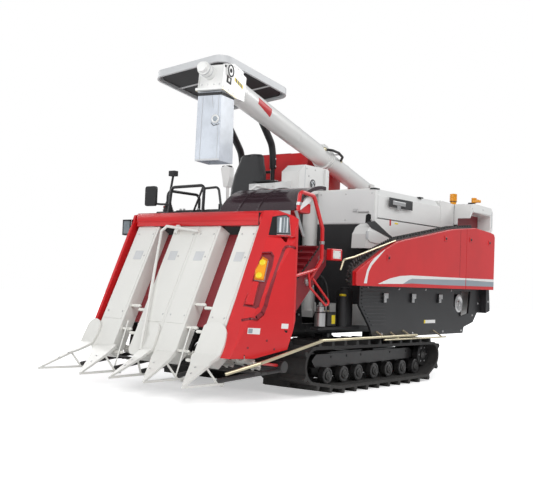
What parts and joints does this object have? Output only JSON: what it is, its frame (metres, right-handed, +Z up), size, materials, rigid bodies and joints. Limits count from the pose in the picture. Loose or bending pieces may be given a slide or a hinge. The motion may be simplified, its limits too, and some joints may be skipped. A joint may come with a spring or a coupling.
{
  "type": "head-feed combine harvester",
  "caption": "Head-feed combine harvester on rubber crawler tracks, with slanted pick-up cases, red and white covers, grain tank, unloading auger and open driver station.",
  "frame": {"origin": "on the ground under the middle of the box round the machine", "axes": "+X forward, +Y to the left of the machine, +Z up"},
  "size_m": [4.3, 1.878, 2.693],
  "materials": {
    "red_paint": "gloss",
    "dark_red_paint": "satin",
    "white_paint": "gloss",
    "cream_panel": "satin",
    "white_panel": "satin",
    "grey_panel": "matt",
    "black_paint": "satin",
    "black_plastic": "matt",
    "dark_steel": "matt",
    "track_rubber": "matt",
    "hose_rubber": "matt",
    "seat_vinyl": "satin",
    "zinc_plate": "satin",
    "chromed_rod": "polished",
    "smoked_plastic": "gloss",
    "clear_sleeve": "gloss",
    "amber_lens": "gloss",
    "lamp_lens": "gloss",
    "tine_nylon": "satin"
  },
  "bodies": {
    "chassis": {"auger_column": "white_paint", "canopy_posts": "black_paint", "canopy_roof": "grey_panel", "chassis_frame": "black_paint", "chassis_rails": "black_paint", "control_levers": "black_plastic", "drive_sprockets": "dark_steel", "engine_block": "dark_steel", "engine_cover": "black_paint", "feed_chain": "dark_steel", "feed_chain_cover": "red_paint", "front_console": "black_plastic", "fuel_tank": "black_plastic", "grain_elevator": "white_paint", "guard_rails": "black_paint", "header_pivot": "black_paint", "lower_side_cover": "black_paint", "oil_filters": "zinc_plate", "operator_floor": "black_paint", "rear_hood": "white_paint", "seat_back": "seat_vinyl", "seat_cushion": "seat_vinyl", "side_console": "white_panel", "side_rods": "zinc_plate", "straw_cutter": "black_paint", "thresher_body": "white_paint", "track_frames": "black_paint", "track_left": "track_rubber", "track_right": "track_rubber", "warning_lamps": "amber_lens"},
    "header": {"header_frame": "black_paint", "header_back_panel": "dark_red_paint", "header_beam": "red_paint", "header_left_cover": "red_paint", "header_right_cover": "red_paint", "header_hood": "smoked_plastic", "pickup_cases": "cream_panel", "pickup_tines": "tine_nylon", "crop_dividers": "cream_panel", "cutter_bar": "dark_steel", "stalk_conveyor": "dark_red_paint", "header_guard_rods": "red_paint", "header_lamps": "lamp_lens"},
    "lift_barrel": {"lift_cylinder_barrel": "black_paint"},
    "lift_rod": {"lift_cylinder_rod": "chromed_rod"},
    "grain_tank": {"grain_tank": "red_paint"},
    "auger_turret": {"auger_turret": "white_paint"},
    "auger": {"auger_tube": "white_paint", "auger_head": "white_paint", "auger_spout": "clear_sleeve", "auger_hose": "hose_rubber"},
    "auger_barrel": {"auger_cylinder_barrel": "black_paint"},
    "auger_rod": {"auger_cylinder_rod": "chromed_rod"},
    "threshing_lid": {"threshing_lid": "white_paint"},
    "radiator_door": {"radiator_door": "black_paint"},
    "star_1": {"star_wheel_1": "tine_nylon"},
    "star_2": {"star_wheel_2": "tine_nylon"},
    "star_3": {"star_wheel_3": "tine_nylon"},
    "star_4": {"star_wheel_4": "tine_nylon"},
    "star_5": {"star_wheel_5": "tine_nylon"}
  },
  "joints": [
    {"name": "header_lift", "type": "hinge", "parent": "chassis", "child": "header", "pos_m": [0.5, 0.14, 1.1], "axis": [0, -1, 0], "range_deg": [-2.5, 15]},
    {"name": "lift_barrel_tilt", "type": "hinge", "parent": "chassis", "child": "lift_barrel", "pos_m": [0.44, 0.14, 0.48], "axis": [0, -1, 0], "range_deg": [-2.29, 13.49]},
    {"name": "lift_rod_slide", "type": "slide", "parent": "lift_barrel", "child": "lift_rod", "axis": [0.9957, 0, -0.0922], "range_m": [-0.02756, 0.16283]},
    {"name": "grain_tank_swing", "type": "hinge", "parent": "chassis", "child": "grain_tank", "pos_m": [-1.56, -0.32, 0.7], "axis": [0, 0, -1], "range_deg": [0, 45]},
    {"name": "auger_swing", "type": "hinge", "parent": "chassis", "child": "auger_turret", "pos_m": [-1.56, -0.32, 1.4], "axis": [0, 0, 1], "range_deg": [0, 165]},
    {"name": "auger_lift", "type": "hinge", "parent": "auger_turret", "child": "auger", "pos_m": [-1.56, -0.32, 1.89], "axis": [0.2079, -0.9781, 0], "range_deg": [0, 35]},
    {"name": "auger_barrel_tilt", "type": "hinge", "parent": "auger_turret", "child": "auger_barrel", "pos_m": [-1.42306, -0.29089, 1.45], "axis": [0.2079, -0.9781, 0], "range_deg": [0, 7.42]},
    {"name": "auger_rod_slide", "type": "slide", "parent": "auger_barrel", "child": "auger_rod", "axis": [0.4018, 0.0854, 0.9118], "range_m": [0, 0.17944]},
    {"name": "threshing_lid_lift", "type": "hinge", "parent": "chassis", "child": "threshing_lid", "pos_m": [-0.7, 0.2, 1.705], "axis": [1, 0, 0], "range_deg": [0, 35]},
    {"name": "radiator_door_swing", "type": "hinge", "parent": "chassis", "child": "radiator_door", "pos_m": [-0.238, -0.915, 1], "axis": [0, 0, -1], "range_deg": [0, 100]},
    {"name": "star_wheel_1_spin", "type": "hinge", "parent": "header", "child": "star_1", "pos_m": [1.48459, -0.56, 0.27346], "axis": [-0.4379, 0, 0.899], "continuous": true},
    {"name": "star_wheel_2_spin", "type": "hinge", "parent": "header", "child": "star_2", "pos_m": [1.48459, -0.32, 0.27346], "axis": [-0.4379, 0, 0.899], "continuous": true},
    {"name": "star_wheel_3_spin", "type": "hinge", "parent": "header", "child": "star_3", "pos_m": [1.48459, 0.11, 0.27346], "axis": [-0.4379, 0, 0.899], "continuous": true},
    {"name": "star_wheel_4_spin", "type": "hinge", "parent": "header", "child": "star_4", "pos_m": [1.48459, 0.35, 0.27346], "axis": [-0.4379, 0, 0.899], "continuous": true},
    {"name": "star_wheel_5_spin", "type": "hinge", "parent": "header", "child": "star_5", "pos_m": [1.48459, 0.6, 0.27346], "axis": [-0.4379, 0, 0.899], "continuous": true}
  ],
  "couplings": [
    {"joint": "lift_barrel_tilt", "follows": "header_lift", "ratio": 0.8963},
    {"joint": "lift_rod_slide", "follows": "header_lift", "m_per_rad": 0.62006},
    {"joint": "auger_barrel_tilt", "follows": "auger_lift", "ratio": 0.21054},
    {"joint": "auger_rod_slide", "follows": "auger_lift", "m_per_rad": 0.29294}
  ]
}
